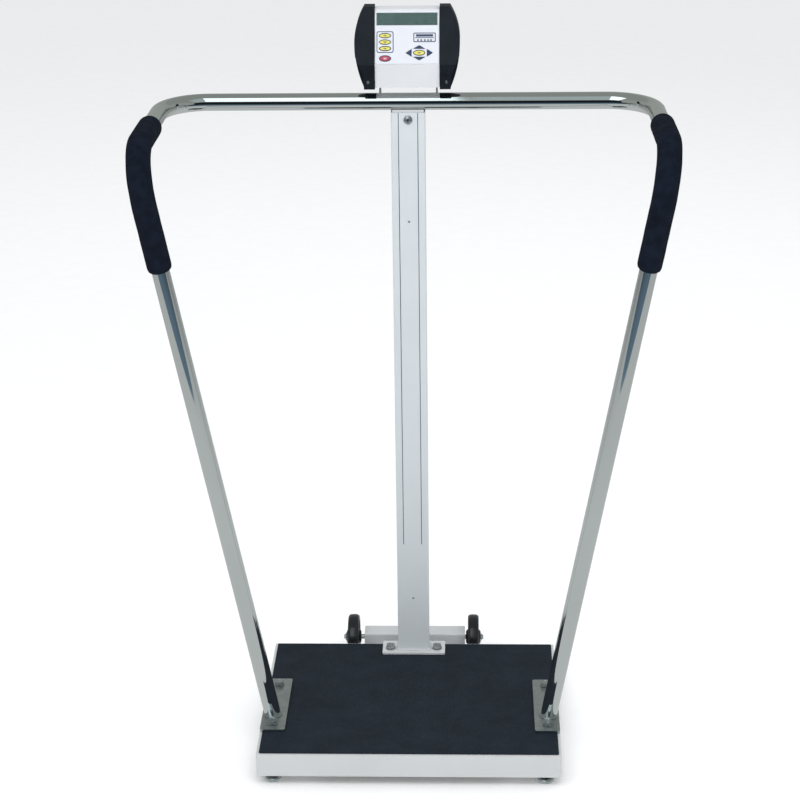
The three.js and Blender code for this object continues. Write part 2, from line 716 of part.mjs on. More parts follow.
// Side outline of a cap, a little proud of the case in front.
function capSide(inset) {
  const [low, high] = [cap.bottom + inset, cap.top - inset];
  const out = inset - cap.proud;
  return polygon([
    [faceDepth(0, out), 0], [housing.chin + out, low], [housing.depth - inset, low],
    [housing.depth - inset, high], [faceDepth(high, out), high],
  ]);
}

function capBody(inset) {
  const front = extrudeY(capOutline(inset), [-10, housing.depth + 10], 10);
  return meet(front, extrudeX(capSide(inset), [0, cap.outer + 1]));
}

// The lower outer corner of each cap's front is stepped back. The hollow steps back by a wall more.
function capStepCut(wall) {
  const { top, topX, shoulderZ, shoulderX, footX, depth } = capStep;
  const below = cap.bottom - 1;
  const beyond = cap.outer + 9;
  const outline = polygon([
    [topX - wall, top + wall], [shoulderX - wall, shoulderZ], [footX - wall, below], [beyond, below],
    [beyond, top + wall],
  ]);
  return extrudeY(outline, [-10, depth + wall]);
}

function sideCap(sx) {
  const hollow = cut(capBody(cap.wall), capStepCut(cap.wall));
  const right = cut(capBody(0), hollow, capStepCut(0));
  return sx > 0 ? right : mirrorX(right);
}

function keypadOverlay() {
  const x = housing.halfWidth - overlay.inset;
  const y = [-GAP - overlay.thickness, -GAP];
  const sheet = extrudeY(roundedRect([-x, x], [overlay.bottom, overlay.top], 1.5), y, 2);
  const halfW = lens.width / 2 + GAP;
  const halfH = lens.height / 2 + GAP;
  const window = block([-halfW, halfW], [-3, 1], [lens.z - halfH, lens.z + halfH]);
  return cut(sheet, window, ...keyHoles([-3, 1]));
}

function faceBlock(halfWidth, [y0, y1], [z0, z1]) {
  return block([-halfWidth, halfWidth], [y0, y1], [z0, z1]);
}

function lugTip() {
  return backCover.lugInner + 2;
}

// Turned screw: its head outside the bracket leg, its shank through the leg into the lug.
function pivotScrew(sx) {
  const seat = bracket.legX + bracket.sheet / 2 + GAP;
  const profile = [
    [0, lugTip()], [pivot.screwR, lugTip()], [pivot.screwR, seat], [5.2, seat],
    [5.2, seat + 2.2], [3.4, seat + 3.6], [0, seat + 3.6],
  ];
  return turned(profile, 14).rotateY(sx * Math.PI / 2).translate(0, pivot.y, pivot.z);
}

function cableGland() {
  const y = housing.depth + 2 * GAP + backCover.thickness;
  const profile = [
    [2.8, -4], [gland.r, -4], [gland.r, 0], [gland.r + 2.2, 0], [gland.r + 2.2, 3],
    [gland.r, gland.length], [2.8, gland.length], [2.8, -4],
  ];
  return turned(profile, 12).rotateX(-Math.PI / 2).translate(gland.x, y, gland.z);
}

add('indicator_housing', housingShell(), casePlastic, indicator);
add('indicator_back_cover', housingBack(), casePlastic, indicator);
add('keypad_overlay', keypadOverlay(), overlayFilm, face);
const lensZ = [lens.z - lens.height / 2, lens.z + lens.height / 2];
add('display_lens', faceBlock(lens.width / 2, [-GAP - lens.thickness, -GAP], lensZ), displayTint, face);
const lcdFront = housing.wall + GAP;
const lcdZ = [lens.z - lcd.height / 2, lens.z + lcd.height / 2];
add('lcd_module', faceBlock(lcd.width / 2, [lcdFront, lcdFront + lcd.depth], lcdZ), displayTint, face);
const boardY = [board.y, board.y + board.thickness];
add('circuit_board', faceBlock(board.width / 2, boardY, [board.bottom, board.top]), boardGreen, face);
add('cable_gland', cableGland(), blackPlastic, indicator);
for (const [side, sx] of SIDES) {
  add(`indicator_cap_${side}`, sideCap(sx), capPlastic, indicator);
  add(`pivot_screw_${side}`, pivotScrew(sx), zinc, indicator);
}
for (const { name, material, shape } of keys) {
  add(name, extrudeY(shape(0), [key.front, key.back], 8), material, face);
}

// ---------------------------------------------------------------------------------------------
// Indicator bracket: a plate behind the column top, with two legs bent back and up to the pivot.

function indicatorBracket() {
  const hinge = { y: ridge.y + pivot.y, z: ridge.z + pivot.z };
  const y = [bracketBack - bracket.sheet, bracketBack];
  const halfW = bracket.legX + bracket.sheet / 2;
  const crossbar = block([-halfW, halfW], y, [bracket.bottom, bracket.top]);
  const { headR } = bracket;
  const strap = block([-tongue.halfWidth, tongue.halfWidth], y, [tongue.bottom, bracket.bottom + 1]);
  const elbowZ = ridge.z + housing.bottom - 4;
  const leg = new THREE.Shape();
  leg.moveTo(y[0], bracket.bottom);
  leg.lineTo(hinge.y + headR - 8, bracket.bottom);
  leg.lineTo(hinge.y + headR, bracket.bottom + 14);
  leg.absarc(hinge.y, hinge.z, headR, 0, Math.PI);
  leg.lineTo(hinge.y - 2.5, elbowZ + 6);
  leg.lineTo(hinge.y - 6, elbowZ);
  leg.lineTo(y[0] + 8, bracket.top);
  leg.lineTo(y[0], bracket.top);
  const legs = [[bracket.legX - bracket.sheet / 2, halfW], [-halfW, bracket.sheet / 2 - bracket.legX]]
    .map((x) => extrudeX(leg, x, 5));
  return cut(
    join(crossbar, strap, ...legs),
    rodX(pivot.screwR + GAP, [-halfW - 1, halfW + 1], hinge.y, hinge.z),
    rodY(bolt.shankR + GAP, [y[0] - 1, y[1] + 1], 0, topBolt.z),
  );
}

add('indicator_bracket', indicatorBracket(), zinc);

// ---------------------------------------------------------------------------------------------
// Origin on the floor under the middle of the bounding box

const rearReach = axleY + wheel.r;
const part = new THREE.Group();
model.position.y = (platform.depth - rearReach) / 2;
part.add(model);

export default part;
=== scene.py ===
import json
import math
import random

import bmesh
import bpy
from mathutils import Matrix, Vector, noise


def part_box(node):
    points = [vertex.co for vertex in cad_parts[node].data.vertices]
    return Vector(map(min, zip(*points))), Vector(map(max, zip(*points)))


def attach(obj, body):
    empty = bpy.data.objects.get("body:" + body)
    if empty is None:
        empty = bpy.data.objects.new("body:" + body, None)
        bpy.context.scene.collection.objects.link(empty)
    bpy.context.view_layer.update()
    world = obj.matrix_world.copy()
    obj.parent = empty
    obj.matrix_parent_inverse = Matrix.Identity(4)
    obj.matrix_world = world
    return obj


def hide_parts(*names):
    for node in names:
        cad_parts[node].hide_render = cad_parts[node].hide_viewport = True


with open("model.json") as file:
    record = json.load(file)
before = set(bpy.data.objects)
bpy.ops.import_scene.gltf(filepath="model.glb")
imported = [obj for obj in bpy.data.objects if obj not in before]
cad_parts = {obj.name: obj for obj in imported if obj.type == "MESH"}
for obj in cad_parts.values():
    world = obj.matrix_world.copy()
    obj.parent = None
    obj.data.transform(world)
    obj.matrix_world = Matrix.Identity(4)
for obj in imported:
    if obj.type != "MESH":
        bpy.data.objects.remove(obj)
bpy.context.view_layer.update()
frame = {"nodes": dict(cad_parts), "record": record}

MM = 0.001
SIDES = (("left", -1), ("right", 1))
ENDS = ("front", "rear")
nodes = frame["nodes"]
record = frame["record"]
rear_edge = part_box("platform_cover")[1].y
joints = {joint["name"]: joint for joint in record["behaviour"]["joints"]}


# ------------------------------------------------------------------------------------------
# Materials: each one is a Principled shader with its own procedural colour, gloss and bump.

class Finish:
    """A material under construction. Texture sizes are given in millimetres."""

    def __init__(self, name, roughness=0.5, metallic=0.0, color=(0.8, 0.8, 0.8)):
        self.material = bpy.data.materials.new(name)
        self.material.use_nodes = True
        self.tree = self.material.node_tree
        self.shader = self.tree.nodes["Principled BSDF"]
        self.set("Roughness", roughness)
        self.set("Metallic", metallic)
        self.set("Base Color", (*color, 1))
        self.color = color
        self.place = self.node("ShaderNodeTexCoord").outputs["Object"]

    def set(self, socket, value):
        self.shader.inputs[socket].default_value = value

    def node(self, kind, **settings):
        made = self.tree.nodes.new(kind)
        for name, value in settings.items():
            setattr(made, name, value)
        return made

    def link(self, out, into):
        self.tree.links.new(out, into)

    def noise(self, size, detail=3.0, stretch=(1, 1, 1)):
        mapping = self.node("ShaderNodeMapping")
        mapping.inputs["Scale"].default_value = stretch
        self.link(self.place, mapping.inputs["Vector"])
        made = self.node("ShaderNodeTexNoise")
        made.inputs["Scale"].default_value = 1000 / size
        made.inputs["Detail"].default_value = detail
        self.link(mapping.outputs["Vector"], made.inputs["Vector"])
        return made.outputs["Fac"]

    def cells(self, size):
        made = self.node("ShaderNodeTexVoronoi")
        made.inputs["Scale"].default_value = 1000 / size
        self.link(self.place, made.inputs["Vector"])
        return made.outputs["Distance"]

    def remap(self, value, low, high, start=0.3, end=0.7):
        made = self.node("ShaderNodeMapRange")
        for name, number in (("From Min", start), ("From Max", end), ("To Min", low), ("To Max", high)):
            made.inputs[name].default_value = number
        self.link(value, made.inputs["Value"])
        return made.outputs["Result"]

    def math(self, operation, a, b=0.0):
        """Works on two values, each a number or another node's output."""
        made = self.node("ShaderNodeMath", operation=operation)
        for socket, value in zip(made.inputs, (a, b)):
            if isinstance(value, (int, float)):
                socket.default_value = value
            else:
                self.link(value, socket)
        return made.outputs["Value"]

    def blend(self, factor, first, second):
        """Mixes two colours, each a tuple or another node's output."""
        made = self.node("ShaderNodeMix", data_type="RGBA")
        self.link(factor, made.inputs["Factor"])
        for socket, value in ((made.inputs["A"], first), (made.inputs["B"], second)):
            if isinstance(value, tuple):
                socket.default_value = (*value, 1)
            else:
                self.link(value, socket)
        return made.outputs["Result"]

    def tint(self, size, spread, detail=3.0, stretch=(1, 1, 1)):
        """Lightens and darkens the colour in soft patches."""
        dark = tuple(c * (1 - spread) for c in self.color)
        light = tuple(min(1, c * (1 + spread)) for c in self.color)
        factor = self.remap(self.noise(size, detail, stretch), 0, 1)
        self.paint(self.blend(factor, dark, light))

    def paint(self, color):
        self.link(color, self.shader.inputs["Base Color"])

    def gloss(self, size, low, high, stretch=(1, 1, 1)):
        """Lets the roughness wander between two values."""
        roughness = self.remap(self.noise(size, 4.0, stretch), low, high)
        self.link(roughness, self.shader.inputs["Roughness"])

    def bump(self, height, depth, strength=1.0):
        """Raises the surface by up to depth millimetres, on top of any bump it has."""
        made = self.node("ShaderNodeBump")
        made.inputs["Distance"].default_value = depth * MM
        made.inputs["Strength"].default_value = strength
        self.link(height, made.inputs["Height"])
        normal = self.shader.inputs["Normal"]
        if normal.is_linked:
            self.link(normal.links[0].from_socket, made.inputs["Normal"])
        self.link(made.outputs["Normal"], normal)


def powder_coat(name, color):
    paint = Finish(name, color=color)
    paint.tint(120, 0.02)
    paint.gloss(30, 0.38, 0.5)
    paint.bump(paint.noise(1.6, 2.0), 0.03)
    return paint


def column_coat(name, color):
    """Powder coat with two thin pinstripes on the column's front face."""
    paint = powder_coat(name, color)
    low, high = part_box("column")
    from_side, half_width, start = 11 * MM, 0.55 * MM, 190 * MM
    stripe_x = (high.x - low.x) / 2 - from_side
    split = paint.node("ShaderNodeSeparateXYZ")
    paint.link(paint.place, split.inputs["Vector"])
    from_middle = paint.math("ABSOLUTE", split.outputs["X"])
    from_stripe = paint.math("ABSOLUTE", paint.math("SUBTRACT", from_middle, stripe_x))
    on_stripe = paint.math("LESS_THAN", from_stripe, half_width)
    above_end = paint.math("GREATER_THAN", split.outputs["Z"], low.z + start)
    on_front = paint.math("LESS_THAN", split.outputs["Y"], low.y + 0.5 * MM)
    mask = paint.math("MULTIPLY", paint.math("MULTIPLY", on_stripe, above_end), on_front)
    body = paint.shader.inputs["Base Color"].links[0].from_socket
    paint.paint(paint.blend(mask, body, (0.012, 0.022, 0.07)))
    return paint


def pebbled_rubber(name, color):
    rubber = Finish(name, color=color)
    rubber.tint(45, 0.16)
    rubber.gloss(12, 0.62, 0.8)
    rubber.bump(rubber.cells(1.5), 0.35, 0.8)
    rubber.bump(rubber.noise(0.5, 2.0), 0.08, 0.6)
    rubber.set("Specular IOR Level", 0.22)
    return rubber


def plated_steel(name, color, low=0.24, high=0.42, stretch=(1, 1, 1)):
    metal = Finish(name, metallic=1.0, color=color)
    metal.tint(9, 0.1, 4.0)
    metal.gloss(14, low, high, stretch)
    metal.bump(metal.noise(0.7, 3.0, stretch), 0.015)
    return metal


def bright_chrome(name, color):
    metal = Finish(name, metallic=1.0, color=color)
    metal.tint(200, 0.03)
    metal.gloss(60, 0.035, 0.085)
    metal.bump(metal.noise(90, 1.0), 0.05, 0.5)
    return metal


def closed_foam(name, color):
    foam = Finish(name, roughness=0.92, color=color)
    foam.tint(14, 0.3)
    foam.bump(foam.cells(0.9), 0.18, 0.7)
    foam.bump(foam.noise(5, 3.0), 0.25, 0.5)
    foam.set("Specular IOR Level", 0.07)
    return foam


def moulded(name, color, low, high, grain=0.03, size=0.8, spread=0.06, shine=0.5):
    """Plain plastic, film or card: roughness from low to high, and a grain of the given height and size."""
    plastic = Finish(name, color=color)
    plastic.set("Specular IOR Level", shine)
    plastic.tint(40, spread)
    plastic.gloss(18, low, high)
    plastic.bump(plastic.noise(size, 2.0), grain)
    return plastic


def clear_window(name):
    """Tinted glass that shows what lies behind it."""
    window = Finish(name, color=(0.045, 0.095, 0.085))
    window.tint(6, 0.12, 2.0, stretch=(1, 0.15, 0.15))
    window.gloss(25, 0.05, 0.12)
    window.set("Alpha", 0.6)
    return window


def crystal_display(name):
    """Grey-green liquid crystal glass with faint vertical banding."""
    glass = Finish(name, color=(0.085, 0.165, 0.15))
    glass.tint(6, 0.1, 2.0, stretch=(1, 0.15, 0.15))
    glass.gloss(20, 0.2, 0.32)
    glass.bump(glass.noise(3, 1.0), 0.01)
    return glass


def pale_floor(name):
    """White backdrop paper, lifted a little so that it stays white where the lights fall off."""
    paper = moulded(name, (0.88, 0.88, 0.88), 0.8, 0.95, 0.02, 3.0, 0.01, shine=0)
    paper.set("Emission Color", (1, 1, 1, 1))
    paper.set("Emission Strength", 0.07)
    return paper.material


def make_finishes():
    """One finish for each material slot of the record."""
    film = {"grain": 0.01, "size": 0.5, "spread": 0.05}
    return {
        "white_paint": powder_coat("white_powder_coat", (0.54, 0.556, 0.563)),
        "column_paint": column_coat("column_powder_coat", (0.56, 0.6, 0.625)),
        "mat_rubber": pebbled_rubber("pebbled_rubber", (0.0095, 0.0152, 0.0245)),
        "bare_steel": plated_steel("mill_steel", (0.42, 0.42, 0.41), 0.35, 0.55, (0.1, 1, 1)),
        "zinc_plate": plated_steel("zinc_plate", (0.47, 0.5, 0.51)),
        "chrome_tube": bright_chrome("bright_chrome", (0.62, 0.65, 0.64)),
        "foam_rubber": closed_foam("closed_cell_foam", (0.0055, 0.0085, 0.0165)),
        "black_plastic": moulded("black_plastic", (0.012, 0.013, 0.016), 0.4, 0.55),
        "wheel_plastic": moulded("gloss_black_plastic", (0.008, 0.009, 0.012), 0.16, 0.3, 0.01),
        "cap_plastic": moulded(
            "satin_blue_black_plastic", (0.005, 0.0085, 0.0135), 0.42, 0.58, 0.05, 0.6, 0.12, 0.2),
        "case_plastic": moulded("white_plastic", (0.6, 0.615, 0.64), 0.35, 0.48, spread=0.02),
        "overlay_film": moulded("keypad_film", (0.59, 0.61, 0.66), 0.3, 0.4, 0.012, 0.5, 0.02),
        "display_window": clear_window("display_window"),
        "aluminium": plated_steel("machined_aluminium", (0.7, 0.71, 0.72), 0.28, 0.42, (0.15, 1, 1)),
        "circuit_board": moulded("solder_mask", (0.02, 0.13, 0.04), 0.25, 0.4, 0.03, 2.0, 0.2),
        "key_yellow": moulded("yellow_film", (0.62, 0.57, 0.09), 0.3, 0.4, **film),
        "key_red": moulded("red_film", (0.36, 0.035, 0.07), 0.3, 0.4, **film),
        "key_blue": moulded("blue_film", (0.016, 0.032, 0.085), 0.3, 0.4, **film),
    }


finishes = {slot: finish.material for slot, finish in make_finishes().items()}
finishes["lcd"] = crystal_display("liquid_crystal").material
finishes["floor"] = pale_floor("pale_floor")


# ------------------------------------------------------------------------------------------
# Mesh building. Rings are closed lists of points; a skin joins each ring to the next.

def link_mesh(name, mesh, materials, sharp=35):
    """Adds a mesh to the scene, welded, with its normals outward and its corners over sharp degrees hard."""
    maker = bmesh.new()
    maker.from_mesh(mesh)
    bmesh.ops.remove_doubles(maker, verts=maker.verts, dist=1e-6)
    bmesh.ops.recalc_face_normals(maker, faces=maker.faces)
    maker.to_mesh(mesh)
    maker.free()
    mesh.shade_smooth()
    mesh.set_sharp_from_angle(angle=math.radians(sharp))
    for material in materials:
        mesh.materials.append(material)
    made = bpy.data.objects.new(name, mesh)
    bpy.context.scene.collection.objects.link(made)
    return made


def skin(name, rings, slots, looped=False, sharp=35, material_of=None):
    """A closed mesh over rings of equal length, capped at both ends unless the rings loop round."""
    count = len(rings[0])
    points = [point for ring in rings for point in ring]
    faces = []
    kinds = []
    pairs = len(rings) if looped else len(rings) - 1
    for row in range(pairs):
        below = row * count
        above = ((row + 1) % len(rings)) * count
        for i in range(count):
            j = (i + 1) % count
            faces.append((below + i, below + j, above + j, above + i))
            kinds.append(material_of(row) if material_of else 0)
    if not looped:
        faces.append(tuple(range(count)))
        faces.append(tuple(range(len(points) - count, len(points))))
        kinds += [kinds[0], kinds[-1]]
    mesh = bpy.data.meshes.new(name)
    mesh.from_pydata(points, [], faces)
    mesh.polygons.foreach_set("material_index", kinds)
    return link_mesh(name, mesh, [finishes[slot] for slot in slots], sharp)


def around(segments):
    """Evenly spaced angles round a full turn."""
    return [2 * math.pi * i / segments for i in range(segments)]


def polar(radius, angle, height, place):
    """A point about the place's Z axis, its sizes in millimetres."""
    return place @ Vector((radius * MM * math.cos(angle), radius * MM * math.sin(angle), height * MM))


def circle(radius, height, place, segments=72):
    return [polar(radius, angle, height, place) for angle in around(segments)]


def circles(profile, place, segments=72):
    """A ring for each (radius, height) of a profile."""
    return [circle(radius, height, place, segments) for radius, height in profile]


def turned(name, profile, place, slot, segments=64):
    """A profile of (radius, height) in millimetres about the place's Z axis. It closes on itself if it starts
    off the axis, and is capped there otherwise."""
    hollow = profile[0][0] > 0
    outline = profile if hollow else profile[1:-1]
    return skin(name, circles(outline, place, segments), [slot], looped=hollow)


def rounded(points, radius, steps, closed=True):
    """Fillets the corners of a flat outline, but not the ends of an open one. A fillet takes up less than
    half of each side."""
    out = []
    count = len(points)
    most = 0.45
    for i, corner in enumerate(points):
        if not closed and i in (0, count - 1):
            out.append(corner)
            continue
        here = Vector(corner)
        before = Vector(points[i - 1]) - here
        after = Vector(points[(i + 1) % count]) - here
        reach = min(radius, before.length * most, after.length * most)
        start = here + before.normalized() * reach
        end = here + after.normalized() * reach
        for step in range(steps + 1):
            t = step / steps
            out.append(tuple(start * (1 - t) ** 2 + here * 2 * t * (1 - t) + end * t ** 2))
    return out


def at(origin, axis="Z"):
    """A frame at origin whose own Z points along the named axis of the object."""
    turns = {"Z": (0, "X"), "X": (90, "Y"), "-X": (-90, "Y"), "Y": (-90, "X"), "-Y": (90, "X")}
    angle, about = turns[axis]
    return Matrix.Translation(origin) @ Matrix.Rotation(math.radians(angle), 4, about)


def centre(node):
    """The middle of a node's box."""
    low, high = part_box(node)
    return (low + high) / 2


def extruded(name, outlines, depth, place, slot):
    """Flat outlines in millimetres, the first outside and the rest holes, depth thick along the place's Z."""
    curve = bpy.data.curves.new(name, "CURVE")
    curve.dimensions = "2D"
    curve.fill_mode = "BOTH"
    curve.extrude = depth * MM / 2
    for outline in outlines:
        spline = curve.splines.new("POLY")
        spline.points.add(len(outline) - 1)
        for point, (x, y) in zip(spline.points, outline):
            point.co = (x * MM, y * MM, 0, 1)
        spline.use_cyclic_u = True
    source = bpy.data.objects.new(name, curve)
    bpy.context.scene.collection.objects.link(source)
    depsgraph = bpy.context.evaluated_depsgraph_get()
    mesh = bpy.data.meshes.new_from_object(source.evaluated_get(depsgraph))
    bpy.data.objects.remove(source)
    bpy.data.curves.remove(curve)
    mesh.transform(place)
    mesh.materials.clear()
    return link_mesh(name, mesh, [finishes[slot]])


def soften(piece, width):
    """Rounds a piece's edges by width millimetres, without touching its own mesh."""
    flat = piece.modifiers.new("merge_flat_faces", "DECIMATE")
    flat.decimate_type = "DISSOLVE"
    flat.angle_limit = math.radians(1)
    edge = piece.modifiers.new("rounded_edges", "BEVEL")
    edge.width = width * MM
    edge.segments = 3
    edge.limit_method = "ANGLE"
    edge.angle_limit = math.radians(30)
    edge.harden_normals = True
    piece.modifiers.new("even_shading", "WEIGHTED_NORMAL").keep_sharp = True


def settle(piece, body, slot, *stands_for):
    """Puts a finished piece on its body, and hides the CAD parts that it stands for. The slot is not used."""
    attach(piece, body)
    if stands_for:
        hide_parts(*stands_for)


# ------------------------------------------------------------------------------------------
# Camera, floor and light

def make_camera():
    """Looks down on the object from the front, from a little to its right."""
    data = bpy.data.cameras.new("camera")
    data.sensor_width = 36
    data.lens = 95.4
    camera = bpy.data.objects.new("camera", data)
    turn = Matrix.Rotation(math.radians(2.05), 4, "Z")
    tilt = Matrix.Rotation(math.radians(68.73), 4, "X")
    roll = Matrix.Rotation(math.radians(-0.75), 4, "Z")
    stand = Vector((92.9 * MM, rear_edge - 3.1086, 1.694))
    camera.matrix_world = Matrix.Translation(stand) @ turn @ tilt @ roll
    bpy.context.scene.collection.objects.link(camera)
    bpy.context.scene.camera = camera


def make_light(name, place, target, size, power):
    """A soft rectangular light that reflections don't show."""
    data = bpy.data.lights.new(name, "AREA")
    data.shape = "RECTANGLE"
    data.size, data.size_y = size
    data.energy = power
    light = bpy.data.objects.new(name, data)
    light.visible_glossy = False
    light.location = place
    light.rotation_euler = (Vector(target) - Vector(place)).to_track_quat("-Z", "Y").to_euler()
    bpy.context.scene.collection.objects.link(light)


def square(reach):
    """Corners of a square about the origin."""
    return [(-reach, -reach), (reach, -reach), (reach, reach), (-reach, reach)]


def make_floor():
    mesh = bpy.data.meshes.new("floor")
    mesh.from_pydata([(x, y, 0) for x, y in square(40)], [], [(0, 1, 2, 3)])
    mesh.materials.append(finishes["floor"])
    floor = bpy.data.objects.new("floor", mesh)
    bpy.context.scene.collection.objects.link(floor)


def make_card(name, corners, color, strength, far_strength=None):
    """A sheet that only reflections see, so that polished steel has something to mirror. With a far
    strength it fades as it goes away from the object."""
    fade_start, fade_end = 0.8, 3.5
    card = Finish(name, color=(0, 0, 0))
    card.set("Specular IOR Level", 0)
    card.set("Emission Color", (*color, 1))
    card.set("Emission Strength", strength)
    if far_strength:
        length = card.node("ShaderNodeVectorMath", operation="LENGTH")
        card.link(card.place, length.inputs[0])
        fade = card.remap(length.outputs["Value"], strength, far_strength, fade_start, fade_end)
        card.link(fade, card.shader.inputs["Emission Strength"])
    mesh = bpy.data.meshes.new(name)
    mesh.from_pydata(corners, [], [tuple(range(len(corners)))])
    mesh.materials.append(card.material)
    sheet = bpy.data.objects.new(name, mesh)
    for ray in ("camera", "diffuse", "shadow", "transmission"):
        setattr(sheet, f"visible_{ray}", False)
    bpy.context.scene.collection.objects.link(sheet)


def make_surroundings():
    """Bright paper below, a dim room all round, a dark gap in front and two softboxes above it."""
    high, paper_end, dark_end, dark_top = 7, -1.3, -9, 3.3
    dim, dark = (0.95, 1, 0.95), (0.5, 0.75, 1)
    corners = square(10)
    make_card("paper_card", [(x, y, 0.001) for x, y in corners], (0.97, 1, 1), 0.66, 0.34)
    make_card("ceiling_card", [(x, y, high) for x, y in corners], dim, 0.34)
    for i, (x, y) in enumerate(corners):
        nx, ny = corners[(i + 1) % 4]
        make_card(f"wall_card_{i}", [(x, y, 0), (nx, ny, 0), (nx, ny, high), (x, y, high)], dim, 0.4)
    floor_gap = [(-4, paper_end), (4, paper_end), (6, dark_end), (-6, dark_end)]
    wall_gap = [(-7, 0), (7, 0), (7, dark_top), (-7, dark_top)]
    make_card("dark_floor_card", [(x, y, 0.002) for x, y in floor_gap], dark, 0.35, 0.02)
    make_card("dark_wall_card", [(x, dark_end, z) for x, z in wall_gap], dark, 0.02)
    for name, x0, x1, strength in (("left_softbox", -2.4, 0.05, 1.9), ("right_softbox", 0.1, 2.4, 0.55)):
        box = [(x0, -4.4, 2.5), (x1, -4.4, 2.5), (x1, -1.2, 4.1), (x0, -1.2, 4.1)]
        make_card(name, box, (0.86, 0.97, 1), strength)


def make_studio():
    """The world, the floor, what the chrome reflects, and the lights."""
    scene = bpy.context.scene
    scene.view_settings.view_transform = "Standard"
    world = bpy.data.worlds.new("studio")
    world.use_nodes = True
    background = world.node_tree.nodes["Background"]
    background.inputs["Color"].default_value = (0.97, 0.985, 1, 1)
    background.inputs["Strength"].default_value = 0.86
    scene.world = world
    make_floor()
    make_surroundings()
    make_light("key_light", (-1.5, -1.7, 3.4), (0, 0, 0.4), (2.2, 2.2), 30)
    make_light("fill_light", (2.4, -1.8, 2.2), (0, 0, 0.5), (1.6, 2.4), 12)
    make_light("top_light", (0.3, -1.2, 1.9), (0, 0, 0.9), (0.8, 0.8), 8)
    make_light("back_light", (0.5, 2.6, 2.8), (0, 0, 0.6), (3.0, 1.4), 14)


# ------------------------------------------------------------------------------------------
# Handrail and its grips

# In millimetres, from the middle of the platform's rear edge on the floor.
TUBE_R = 12.7
TUBE_WALL = 1.65
RAIL_FOOT = Vector((211.9, -241, 54))
RAIL_SHOULDER = Vector((366.8, -323.4, 963))
RAIL_CORNER = Vector((361.4, -19.6, 966.2))
SHOULDER_R = 72.8
CORNER_R = 68.8
GRIP_R = 17.4
GRIP_BORE = 13.1
GRIP_START = 796
GRIP_END = -160


def filleted_path(corners, radii, spacing):
    """Stations of (point, direction) along straights joined by arcs, in millimetres."""
    stations = []
    here = corners[0]
    for i, radius in enumerate(radii):
        corner = corners[i + 1]
        before = (corner - corners[i]).normalized()
        after = (corners[i + 2] - corner).normalized()
        turn = before.angle(after)
        inward = (after - before * after.dot(before)).normalized()
        start = corner - before * radius * math.tan(turn / 2)
        add_straight(stations, here, start, before, spacing)
        steps = max(6, round(radius * turn / min(spacing, 4)))
        for step in range(1, steps + 1):
            a = turn * step / steps
            point = start + before * radius * math.sin(a) + inward * radius * (1 - math.cos(a))
            stations.append((point, before * math.cos(a) + inward * math.sin(a)))
        here = stations.pop()[0]
    add_straight(stations, here, corners[-1], (corners[-1] - here).normalized(), spacing)
    stations.append((corners[-1], (corners[-1] - here).normalized()))
    return stations


def add_straight(stations, start, end, direction, spacing):
    """Adds stations from start towards end, without end itself."""
    steps = max(1, round((end - start).length / spacing))
    for step in range(steps):
        stations.append((start.lerp(end, step / steps), direction))


def section_frames(stations):
    """A pair of directions across the path at each station, turning as little as possible."""
    across = stations[0][1].orthogonal().normalized()
    frames = []
    for _, along in stations:
        across = (across - along * across.dot(along)).normalized()
        frames.append((across, along.cross(across)))
    return frames


def path_ring(point, axes, radius, swell=None):
    """A ring across a path at a point. swell gives how much further out each of its points lies."""
    ring = []
    for angle in around(48):
        outward = axes[0] * math.cos(angle) + axes[1] * math.sin(angle)
        r = radius + (swell(point, outward) if swell else 0)
        ring.append((point + outward * r) * MM + Vector((0, rear_edge, 0)))
    return ring


def mirrored(corners):
    """The same corners on the object's other side."""
    return [Vector((-c.x, c.y, c.z)) for c in corners]


def make_handrail():
    """The chrome tube, bent from one length, its feet cut level just above their plates."""
    foot_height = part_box("handrail_plate_right")[1].z + 0.3 * MM
    right = [RAIL_FOOT, RAIL_SHOULDER, RAIL_CORNER]
    corners = right + mirrored(right)[::-1]
    stations = filleted_path(corners, [SHOULDER_R, CORNER_R, CORNER_R, SHOULDER_R], 60)
    axes = section_frames(stations)
    outer, inner = (
        [path_ring(point, across, radius) for (point, _), across in zip(stations, axes)]
        for radius in (TUBE_R, TUBE_R - TUBE_WALL))
    for rings in (outer, inner):
        stand_flat(rings[0], rings[1], foot_height)
        stand_flat(rings[-1], rings[-2], foot_height)
    tube = skin("handrail", outer + inner[::-1], ["chrome_tube"], looped=True)
    settle(tube, "frame", "chrome_tube", "handrail_tube")


def stand_flat(end_ring, next_ring, height):
    """Slides an end ring's points along the tube until they all lie at one height."""
    for i, (end, nearby) in enumerate(zip(end_ring, next_ring)):
        t = (height - end.z) / (nearby.z - end.z)
        end_ring[i] = end.lerp(nearby, t)


